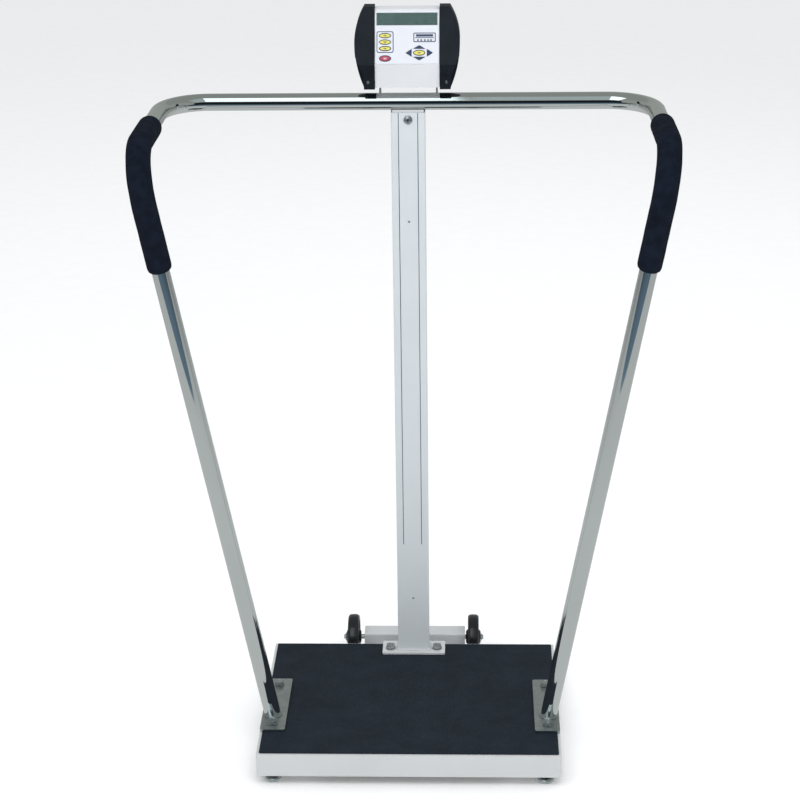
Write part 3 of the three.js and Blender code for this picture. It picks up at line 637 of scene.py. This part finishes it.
def make_grip(side, sign):
    """A foam sleeve with rolled ends, faintly uneven, and creased where the bend squeezes it."""
    start = RAIL_FOOT.lerp(RAIL_SHOULDER, (GRIP_START - RAIL_FOOT.z) / (RAIL_SHOULDER.z - RAIL_FOOT.z))
    end = RAIL_SHOULDER.lerp(RAIL_CORNER, (GRIP_END - RAIL_SHOULDER.y) / (RAIL_CORNER.y - RAIL_SHOULDER.y))
    corners = [start, RAIL_SHOULDER, end]
    if sign < 0:
        corners = mirrored(corners)
    stations = filleted_path(corners, [SHOULDER_R], 2.5)
    axes = section_frames(stations)
    marks = [0]
    for (before, _), (point, _) in zip(stations, stations[1:]):
        marks.append(marks[-1] + (point - before).length)
    length = marks[-1]
    first, last = (corners[1] - corners[0]).normalized(), (corners[2] - corners[1]).normalized()
    inner_side = (last - first).normalized()
    bend_middle = next(m for m, (_, d) in zip(marks, stations) if d.dot(last) > 0.7)
    end_roll, roll_depth = 9, 0.44
    crease_depth, crease_pitch, crease_reach = 0.5, 15, 32
    wave_height, wave_size = 0.35, 22
    outer = []
    for (point, _), across, mark in zip(stations, axes, marks):
        from_end = min(mark, length - mark)
        roll = end_roll - math.sqrt(end_roll ** 2 - max(0, end_roll - from_end) ** 2)
        from_bend = mark - bend_middle
        near_bend = math.exp(-(from_bend / crease_reach) ** 2)
        crease = crease_depth * near_bend * (math.cos(from_bend * 2 * math.pi / crease_pitch) - 1)

        def swell(place, outward):
            wave = wave_height * noise.noise(place / wave_size + outward * 0.9)
            squeeze = max(0, outward.dot(inner_side)) ** 2
            return min(0, wave - 0.2) - roll * roll_depth + crease * squeeze

        outer.append(path_ring(point, across, GRIP_R + 0.2, swell))
    bore = [path_ring(point, across, GRIP_BORE) for (point, _), across in zip(stations, axes)]
    rings = [bore[0], *outer, *bore[:0:-1]]
    grip = skin(f"grip_{side}", rings, ["foam_rubber"], looped=True, sharp=60)
    settle(grip, "frame", "foam_rubber", f"foam_grip_{side}")


def make_weld(name, outline, radius, slot):
    """A rippled fillet weld along a closed outline of points, in metres."""
    ripple = random.Random(name)
    middle = sum(outline, Vector()) / len(outline)
    rings = []
    for point in outline:
        out = (point - middle).normalized()
        r = radius * (0.92 + 0.16 * ripple.random()) * MM
        rings.append([point + out * (r * math.cos(a)) + Vector((0, 0, r * math.sin(a))) for a in around(8)])
    settle(skin(name, rings, [slot], looped=True, sharp=80), "frame", slot)


def make_foot_weld(side, sign):
    """The weld round the tube where it leans on its plate, an oval in plan."""
    direction = (RAIL_SHOULDER - RAIL_FOOT).normalized()
    lean = Vector((direction.x, direction.y, 0))
    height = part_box(f"handrail_plate_{side}")[1].z
    foot = RAIL_FOOT + direction * (height / MM - RAIL_FOOT.z) / direction.z
    points = []
    for angle in around(72):
        across = Vector((math.cos(angle), math.sin(angle), 0))
        stretch = across + lean * (across.dot(lean) / direction.z ** 2) * 0.5
        toe = foot + stretch * (TUBE_R + 0.5)
        points.append(Vector((sign * toe.x * MM, toe.y * MM + rear_edge, height + 0.8 * MM)))
    make_weld(f"handrail_weld_{side}", points, 1.3, "zinc_plate")


def make_column_weld():
    """The weld round the foot of the column."""
    low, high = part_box("column")
    out = 0.4 * MM
    z = low.z + 0.5 * MM
    left, right = low.x - out, high.x + out
    front, back = low.y - out, high.y + out
    corners = [Vector(xy) for xy in ((left, front), (right, front), (right, back), (left, back))]
    outline = []
    for corner, ahead, steps in zip(corners, corners[1:] + corners[:1], (20, 10, 20, 10)):
        outline += [Vector((*corner.lerp(ahead, step / steps), z)) for step in range(steps)]
    make_weld("column_weld", outline, 1.5, "white_paint")


# ------------------------------------------------------------------------------------------
# Fasteners

BOLT_R = 4.0
BOLT_FLATS = 13


def hex_radius(flats, angle):
    """Distance from the axis to a hexagon's side in a direction."""
    part = math.pi / 3
    return flats / 2 / math.cos((angle + part / 2) % part - part / 2)


def hex_ring(flats, height, place, trim=0.0):
    """A hexagonal ring. Its corners drop by trim times how far they stand out, as a chamfer cuts them."""
    ring = []
    for angle in around(72):
        r = hex_radius(flats, angle)
        drop = (r - flats / 2) * trim
        ring.append(polar(r, angle, height - drop, place))
    return ring


def hex_block(flats, bottom, top, place):
    """Rings of a hexagonal head or nut, chamfered above and below."""
    face_r = flats * 0.46
    return [
        circle(face_r, bottom, place),
        hex_ring(flats, bottom, place, -0.5),
        hex_ring(flats, (bottom + top) / 2, place),
        hex_ring(flats, top, place, 0.5),
        circle(face_r, top, place),
    ]


def threads(radius, bottom, top, place, pitch=1.25):
    """Rings of a thread's roots and crests, from the bottom up."""
    depth = 0.55
    profile = []
    for i in range(int((top - bottom) / pitch)):
        z = bottom + i * pitch
        profile += [(radius - depth, z), (radius, z + pitch / 2)]
    return circles(profile, place)


def make_hex_bolt(node, seat_node):
    """Flanged hexagon bolt, standing on the plate that it clamps, with its nut and thread below."""
    low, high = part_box(node)
    middle = centre(node)
    place = at((middle.x, middle.y, 0))
    bottom, top = low.z / MM, high.z / MM
    nut_bottom = bottom + 2
    nut_top = nut_bottom + 6.2
    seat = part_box(seat_node)[1].z / MM + 0.3
    washer_top = seat + 1.1
    washer = [(BOLT_R, seat), (7.6, seat), (8.0, seat + 0.3), (7.7, washer_top)]
    dish = [(5.1, top - 0.05), (4.6, top - 0.5)]
    rings = [
        *threads(BOLT_R, bottom, nut_bottom, place),
        circle(BOLT_R, nut_bottom, place),
        *hex_block(BOLT_FLATS, nut_bottom, nut_top, place),
        circle(BOLT_R, nut_top, place),
        *circles(washer, place),
        *hex_block(BOLT_FLATS, washer_top, top, place),
        *circles(dish, place),
    ]
    bolt = skin(f"{node}_detail", rings, ["zinc_plate"], sharp=25)
    settle(bolt, "frame", "zinc_plate", node)


def make_button_bolt():
    """Button-headed socket bolt through the column top, with a nut behind."""
    low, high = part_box("column_top_bolt")
    middle = centre("column_top_bolt")
    place = at((middle.x, low.y, middle.z), "-Y")
    end = -(high.y - low.y) / MM
    head_r = (high.x - low.x) / MM / 2
    head = 3.9
    head_under = 0.1 - head
    socket_r = 2.9
    key_flats = 4.2
    socket = [hex_ring(key_flats, -2.3, place), hex_ring(key_flats, -0.1, place), circle(socket_r, 0, place)]
    dome = []
    for step in range(9):
        angle = math.radians(12 + 9 * step)
        dome.append((head_r * math.sin(angle), -0.82 * head * (1 - math.cos(angle))))
    dome = [(r, h) for r, h in dome if math.hypot(r, h) > socket_r + 0.3]
    rim = [(head_r, head_under + 0.4), (head_r - 0.3, head_under)]
    shank = [(BOLT_R, head_under), (BOLT_R, end + 6.4)]
    nut = hex_block(BOLT_FLATS, end + 6.3, end + 1.2, place)
    tail = [(BOLT_R, end + 1.1), (BOLT_R - 0.6, end)]
    rings = [*socket, *circles(dome + rim + shank, place), *nut, *circles(tail, place)]
    bolt = skin("column_top_bolt_detail", rings, ["zinc_plate"], sharp=28)
    settle(bolt, "frame", "zinc_plate", "column_top_bolt")


# ------------------------------------------------------------------------------------------
# Wheels, feet and other turned pieces

def make_wheel(side):
    """Moulded wheel: crowned tread, dished web with six ribs, and a bulging hub."""
    node = f"wheel_{side}"
    low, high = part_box(node)
    place = at(centre(node), "X")
    r = (high.z - low.z) / MM / 2
    hub = (high.x - low.x) / MM / 2
    tread = 9.25
    web = tread - 4.2
    web_start, web_end = 14, 30
    rib_height = 2.6
    profile = [
        (4.2, hub), (9.6, hub), (12.5, hub - 2.5), (web_start + 0.5, web), (web_end - 2, web),
        (web_end, tread - 0.4), (34.5, tread), (r - 0.3, tread - 3.5), (r, 0),
    ]
    half = rounded(profile, 1.6, 3, closed=False)

    def ring(radius, height, face):
        on_web = web_start < radius < web_end and height < tread - 0.6
        highest = tread - 0.3 if radius > web_start else hub
        out = []
        for angle in around(120):
            rib = max(0, math.cos(angle * 6)) ** 14 * rib_height if on_web else 0
            out.append(polar(radius, angle, min(height + rib, highest) * face, place))
        return out

    near = [ring(radius, height, 1) for radius, height in half]
    far = [ring(radius, height, -1) for radius, height in half[:-1]]
    wheel = skin(f"{node}_detail", near + far[::-1], ["wheel_plastic"], looped=True, sharp=50)
    settle(wheel, node, "wheel_plastic", node)


def make_axle():
    """The wheels' axle with a push nut on each end."""
    for side, sign in SIDES:
        push = centre(f"push_nut_{side}")
        facing = "X" if sign > 0 else "-X"
        cup = rounded([(4.1, -0.7), (6.9, -0.7), (6.9, -0.1), (5.4, 0.7), (4.1, 0.7)], 0.4, 3)
        nut = turned(f"push_nut_{side}_detail", cup, at(push, facing), "zinc_plate")
        settle(nut, "frame", "zinc_plate", f"push_nut_{side}")
    low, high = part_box("wheel_axle")
    half = (high.x - low.x) / MM / 2
    rod = [(0, -half), (3.2, -half), (4, 0.8 - half), (4, half - 0.8), (3.2, half), (0, half)]
    axle = turned("wheel_axle_detail", rod, at(centre("wheel_axle"), "X"), "zinc_plate")
    settle(axle, "frame", "zinc_plate", "wheel_axle")


def make_foot(end, side):
    """Levelling foot: a round pad with a turned rim, and a threaded stud with a hexagon collar."""
    body = f"foot_{end}_{side}"
    pad = f"foot_pad_{end}_{side}"
    stud = f"foot_stud_{end}_{side}"
    middle = centre(pad)
    base = at((middle.x, middle.y, 0))
    profile = [(0, 0), (12.4, 0), (13.8, 1.2), (13.4, 4.4), (11.8, 6.4), (8.4, 6.4), (8.4, 5.2), (0, 5.2)]
    rim = rounded(profile, 0.8, 3, closed=False)
    settle(turned(f"{pad}_detail", rim, base, "zinc_plate", 72), body, "zinc_plate", pad)
    low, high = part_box(stud)
    bottom, top = low.z / MM, high.z / MM
    collar_top = bottom + 3
    rings = [
        *hex_block(13.4, bottom, collar_top, base),
        circle(4.9, collar_top + 0.1, base),
        *threads(4.95, collar_top + 0.6, top - 1, base, 1.5),
        circle(4.2, top, base),
    ]
    settle(skin(f"{stud}_detail", rings, ["zinc_plate"], sharp=25), body, "zinc_plate", stud)


# ------------------------------------------------------------------------------------------
# Indicator

KEY_THICKNESS = 4.5
KEY_PROUD = 0.4

# The keypad face leans back by slope, and the keys go straight into it. Its origin here is the enter key.
press = Vector(joints["key_enter_press"]["axis"])
slope = math.atan2(-press.z, press.y)
film_origin = centre("key_enter") - press * (KEY_THICKNESS / 2 - KEY_PROUD) * MM
face_turn = Matrix.Rotation(-slope, 4, "X") @ Matrix.Rotation(math.radians(90), 4, "X")


def on_film(x, up, proud):
    """A frame on the keypad film: X to the right, Y up the face and Z out of it, from the enter key."""
    return Matrix.Translation(film_origin) @ face_turn @ Matrix.Translation((x * MM, up * MM, proud * MM))


def rounded_box(width, height, radius):
    """Outline of a rectangle with rounded corners."""
    x, y = width / 2, height / 2
    return rounded([(-x, -y), (x, -y), (x, y), (-x, y)], radius, 5)


def make_prints():
    """The flat printed marks on the keypad film: a frame round the yellow keys, and a generic label."""
    yellow = (centre("key_yellow_2") - film_origin) / MM
    yellow_up = yellow.z * math.cos(slope) + yellow.y * math.sin(slope)
    label_x = 7.8
    thick = 0.08
    key_frame = [rounded_box(24.8, 31.4, 3.2), rounded_box(22.4, 29.0, 2.4)]
    label_frame = [rounded_box(32.6, 13.8, 1.6), rounded_box(30.0, 11.2, 1.0)]
    prints = [
        ("key_frame_print", key_frame, yellow.x, yellow_up),
        ("label_print", label_frame, label_x, 22.4),
        ("label_bar_upper", [rounded_box(25, 3.4, 0.6)], label_x, 25.2),
        ("label_bar_lower", [rounded_box(27.5, 1.1, 0.3)], label_x, 21.9),
    ]
    for i, x in enumerate((-9.6, -4.8, 0.4, 5.2, 9.4)):
        prints.append((f"label_mark_{i}", [rounded_box(2.6, 2.2, 0.5)], label_x + x, 18.4))
    for name, outlines, x, up in prints:
        piece = extruded(name, outlines, thick, on_film(x, up, thick / 2), "key_blue")
        settle(piece, "indicator", "key_blue")


def key_place(node):
    """A frame on the key's front, and its size across the keypad face."""
    low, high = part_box(node)
    height = ((high.z - low.z) - KEY_THICKNESS * MM * math.sin(slope)) / math.cos(slope)
    front = (low + high) / 2 - press * (KEY_THICKNESS / 2) * MM
    return Matrix.Translation(front) @ face_turn, (high.x - low.x) / MM, height / MM


def oval_ring(width, height, inset, level, place):
    """An oval ring, drawn in by inset all round, at a height over the place."""
    a, b = width / 2 - inset, height / 2 - inset
    return [place @ Vector((a * MM * math.cos(t), b * MM * math.sin(t), level * MM)) for t in around(72)]


def make_oval_key(node, fill):
    """A domed film key with a dark rim round its coloured middle and two plain strokes on it."""
    place, width, height = key_place(node)
    dome = 0.14
    edge = [(0, -KEY_THICKNESS), (0, -0.45), (0.12, -0.18), (0.4, -0.05), (1.15, 0.0)]
    middle = [(1.16, 0.0), (1.7, 0.06), (2.4, 0.12), (3.0, dome)]
    rings = [oval_ring(width, height, inset, level - dome, place) for inset, level in edge + middle]
    key = skin(f"{node}_detail", rings, ["key_blue", fill], sharp=50,
               material_of=lambda row: int(row >= len(edge)))
    settle(key, node, fill, node)
    ink = "overlay_film" if fill == "key_red" else "key_blue"
    for level, up, wide in (("upper", 0.55, 5.2), ("lower", -0.75, 3.4)):
        over = place @ Matrix.Translation((0, up * MM, 0.03 * MM))
        mark = extruded(f"{node}_mark_{level}", [rounded_box(wide, 0.75, 0.3)], 0.06, over, ink)
        settle(mark, node, ink)


def make_arrow_key(node, way):
    """A raised triangular key with soft corners."""
    place, width, height = key_place(node)
    x, y = width / 2, height / 2
    corners = {
        "up": [(-x, -y), (x, -y), (0, y)],
        "down": [(x, y), (-x, y), (0, -y)],
        "left": [(x, -y), (x, y), (-x, 0)],
        "right": [(-x, y), (-x, -y), (x, 0)],
    }[way]
    outline = [Vector(point) for point in rounded(corners, 0.7, 5)]
    middle = sum((Vector(corner) for corner in corners), Vector((0, 0))) / 3
    rings = []
    for shrink, level in ((1, -KEY_THICKNESS), (1, -0.4), (0.96, -0.15), (0.88, -0.02), (0.6, 0)):
        flat = [middle.lerp(point, shrink) for point in outline]
        rings.append([place @ (Vector((*point, level)) * MM) for point in flat])
    settle(skin(f"{node}_detail", rings, ["key_blue"], sharp=50), node, "key_blue", node)


def make_keys():
    for row in (1, 2, 3):
        make_oval_key(f"key_yellow_{row}", "key_yellow")
    make_oval_key("key_enter", "key_yellow")
    make_oval_key("key_red", "key_red")
    for way in ("up", "down", "left", "right"):
        make_arrow_key(f"key_arrow_{way}", way)


def make_display():
    """The blank liquid crystal glass behind the window."""
    glass = nodes["lcd_module"]
    glass.data.materials.clear()
    glass.data.materials.append(finishes["lcd"])
    soften(glass, 0.4)


def pan_head(name, seat, radius):
    """A small domed screw head standing on the seat's plane."""
    profile = [(radius, -0.4), (radius, 0.4), (radius * 0.8, 1.1), (radius * 0.4, 1.4), (0.25, 1.45)]
    settle(skin(name, circles(profile, seat, 40), ["zinc_plate"], sharp=30), "indicator", "zinc_plate")


def make_cap_trim(side, sign):
    """Moulded ribs and a small screw on the lower front of a side cap."""
    node = f"indicator_cap_{side}"
    proud, enter_to_seam = 1.4 * MM, 17 * MM
    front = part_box("indicator_housing")[0].y - proud
    seam = film_origin - Matrix.Rotation(-slope, 3, "X") @ Vector((0, 0, enter_to_seam))
    # For each rib, how far out and how far above the seam its middle lies, its width and its height.
    ribs = [
        (56.0, -1.0, 13.5, 1.0), (52.6, -9.5, 1.2, 13.0),
        (58.4, -9.5, 1.2, 13.0), (55.5, -17.0, 7.0, 1.2),
    ]
    for i, (x, z, width, height) in enumerate(ribs):
        place = at((sign * x * MM, front, seam.z + z * MM), "-Y")
        rib = extruded(f"{node}_rib_{i}", [rounded_box(width, height, 0.4)], 1.6, place, "cap_plastic")
        settle(rib, "indicator", "cap_plastic")
    seat = at((sign * 57.5 * MM, front, seam.z - 26 * MM), "-Y")
    pan_head(f"{node}_screw", seat, 2.4)


def make_back_trim():
    """Corner screws and a blank rating label on the indicator's back cover."""
    low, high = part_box("indicator_back_cover")
    middle = (low + high) / 2
    cover_thickness, from_edge = 4.0 * MM, 6 * MM
    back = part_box("indicator_housing")[1].y + cover_thickness
    corner_x = (high.x - low.x) / 2 - from_edge
    corner_z = (high.z - low.z) / 2 - from_edge
    for i, (sx, sz) in enumerate(square(1)):
        seat = at((sx * corner_x, back, middle.z + sz * corner_z), "Y")
        pan_head(f"back_cover_screw_{i}", seat, 2.6)
    place = at((0, back + 0.1 * MM, high.z - 24 * MM), "Y")
    label = extruded("rating_label", [rounded_box(44, 24, 1.5)], 0.2, place, "aluminium")
    settle(label, "indicator", "aluminium")


def make_pivot_screw(side, sign):
    """Button-headed socket screw, its head against the bracket's leg."""
    screw = f"pivot_screw_{side}"
    low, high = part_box(screw)
    middle = centre(screw)
    outer = high.x if sign > 0 else low.x
    place = at((outer, middle.y, middle.z), "X" if sign > 0 else "-X")
    end = -(high.x - low.x) / MM
    shank_r, head_under = 2.5, -3.6
    key_flats = 3
    socket = [hex_ring(key_flats, -1.8, place), hex_ring(key_flats, -0.1, place), circle(2.2, 0, place)]
    dome = [(3.2, 0), (4.3, -0.5), (5.0, -1.3), (5.2, -2.0), (5.2, -3.3), (4.9, head_under)]
    shank = [(shank_r, head_under), (shank_r, end + 0.5), (shank_r - 0.5, end)]
    piece = skin(f"{screw}_detail", socket + circles(dome + shank, place), ["zinc_plate"], sharp=28)
    settle(piece, "indicator", "zinc_plate", screw)


def make_indicator():
    make_prints()
    make_back_trim()
    make_keys()
    make_display()
    for side, sign in SIDES:
        make_cap_trim(side, sign)
        make_pivot_screw(side, sign)


# ------------------------------------------------------------------------------------------
# CAD pieces that keep their shape get their finish and softly rounded edges, in millimetres

EDGE_ROUNDING = {
    "platform_cover": 0.6, "platform_mat": 0.5, "deck_channel_front": 0.8, "deck_channel_rear": 0.8,
    "junction_box": 0.8, "column_flange": 0.8, "column_saddle": 0.4, "column_grommet": 0.3,
    "handrail_plate_left": 0.5, "handrail_plate_right": 0.5, "wheel_beam": 0.8, "indicator_bracket": 0.4,
    "indicator_housing": 0.6, "indicator_back_cover": 0.8, "display_lens": 0.15,
    "circuit_board": 0.2, "cable_gland": 0.4, "indicator_cap_left": 1.6, "indicator_cap_right": 1.6,
    "load_cell_front_left": 0.5, "load_cell_front_right": 0.5, "load_cell_rear_left": 0.5,
    "load_cell_rear_right": 0.5,
}


def finish_cad_pieces():
    for part in record["subparts"]:
        piece = nodes[part["node"]]
        piece.data.materials.clear()
        piece.data.materials.append(finishes[part["material_slot"]])
        piece.data.shade_smooth()
        piece.data.set_sharp_from_angle(angle=math.radians(35))
    for node, width in EDGE_ROUNDING.items():
        soften(nodes[node], width)


make_camera()
make_studio()
finish_cad_pieces()
make_handrail()
for side, sign in SIDES:
    make_grip(side, sign)
    make_foot_weld(side, sign)
    make_wheel(side)
    make_hex_bolt(f"column_flange_bolt_{side}", "column_flange")
    for end in ENDS:
        make_hex_bolt(f"handrail_bolt_{side}_{end}", f"handrail_plate_{side}")
        make_foot(end, side)
make_column_weld()
make_button_bolt()
make_axle()
make_indicator()
